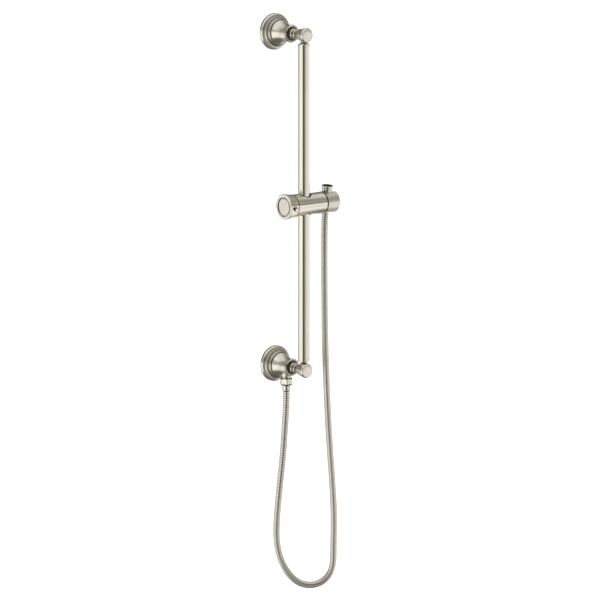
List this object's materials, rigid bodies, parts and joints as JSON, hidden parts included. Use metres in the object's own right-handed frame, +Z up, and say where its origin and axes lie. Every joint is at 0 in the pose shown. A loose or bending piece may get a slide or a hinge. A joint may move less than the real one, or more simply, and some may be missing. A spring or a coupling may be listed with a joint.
{
  "type": "shower slide rail with hose",
  "caption": "Wall-mounted shower slide rail with a tilting hand-shower holder on a locking slider, a supply elbow in the lower post and a metal hose.",
  "frame": {"origin": "on the wall plane, on the axis of the lower post, where the supply pipe enters", "axes": "+Z up along the bar, +Y into the wall, +X towards the hand-shower holder"},
  "size_m": [0.1398, 0.1271, 1.2387],
  "materials": {
    "satin_nickel": "warm satin nickel plate, finely brushed",
    "polished_nickel": "warm polished nickel plate",
    "nickel_disc": "spun nickel disc",
    "hose_fittings": "warm satin nickel plate",
    "hose_steel": "interlocked strip, satin nickel",
    "brass": "plain machined brass",
    "cast_zinc": "as-cast zinc alloy",
    "stainless_steel": "plain stainless steel",
    "black_rubber": "matte",
    "black_acetal": "moulded, matte"
  },
  "bodies": {
    "root": {"top_flange": "satin_nickel", "top_post": "satin_nickel", "top_post_collar": "satin_nickel", "top_stem": "satin_nickel", "top_finial": "satin_nickel", "top_bar_plug": "satin_nickel", "bottom_flange": "satin_nickel", "bottom_post": "satin_nickel", "bottom_post_collar": "satin_nickel", "bottom_stem": "satin_nickel", "bottom_finial": "satin_nickel", "bottom_bar_plug": "satin_nickel", "slide_bar": "satin_nickel", "outlet_nipple": "satin_nickel", "top_finial_cap": "nickel_disc", "bottom_finial_cap": "nickel_disc", "hose_hex_nut": "hose_fittings", "hose_lower_ferrule": "hose_fittings", "hose": "hose_steel", "supply_adapter": "brass", "top_wall_bracket": "cast_zinc", "top_set_screw": "stainless_steel", "bottom_set_screw": "stainless_steel", "check_valve_spring": "stainless_steel", "adapter_o_rings": "black_rubber", "hose_lower_washer": "black_rubber", "check_valve_body": "black_acetal"},
    "slider": {"slider_body": "polished_nickel", "slider_bushes": "black_acetal", "slider_end_cap": "nickel_disc", "collar_retaining_ring": "stainless_steel", "holder_retaining_screw": "stainless_steel"},
    "collar": {"lock_collar": "polished_nickel"},
    "plunger": {"lock_plunger": "brass", "plunger_pad": "black_rubber", "cam_pin": "polished_nickel"},
    "holder": {"holder": "polished_nickel", "holder_friction_ring": "black_rubber", "hose_upper_ferrule": "brass", "hose_upper_washer": "black_rubber"},
    "conical_nut": {"hose_conical_nut": "hose_fittings"},
    "poppet": {"check_valve_poppet": "black_acetal"}
  },
  "joints": [
    {"name": "slider_slide", "type": "slide", "parent": "root", "child": "slider", "axis": [0, 0, 1], "range_m": [-0.3, 0.3], "deforming": ["hose"]},
    {"name": "collar_turn", "type": "hinge", "parent": "slider", "child": "collar", "pos_m": [-0.043, -0.1, 0.3545], "axis": [1, 0, 0], "range_deg": [0, 11]},
    {"name": "plunger_slide", "type": "slide", "parent": "slider", "child": "plunger", "axis": [1, 0, 0], "range_m": [-0.00722, 0]},
    {"name": "holder_tilt", "type": "hinge", "parent": "slider", "child": "holder", "pos_m": [0.0631, -0.1, 0.3545], "axis": [1, 0, 0], "range_deg": [-25, 15]},
    {"name": "nut_swivel", "type": "hinge", "parent": "holder", "child": "conical_nut", "pos_m": [0.0631, -0.0968, 0.3545], "axis": [0, -0.1253, 0.9921], "continuous": true},
    {"name": "poppet_lift", "type": "slide", "parent": "root", "child": "poppet", "axis": [0, 0, -1], "range_m": [0, 0.002], "stiffness_N_per_m": 60, "springref_m": -0.003, "deforming": ["check_valve_spring"]}
  ],
  "couplings": [
    {"joint": "plunger_slide", "follows": "collar_turn", "m_per_rad": -0.037503}
  ]
}
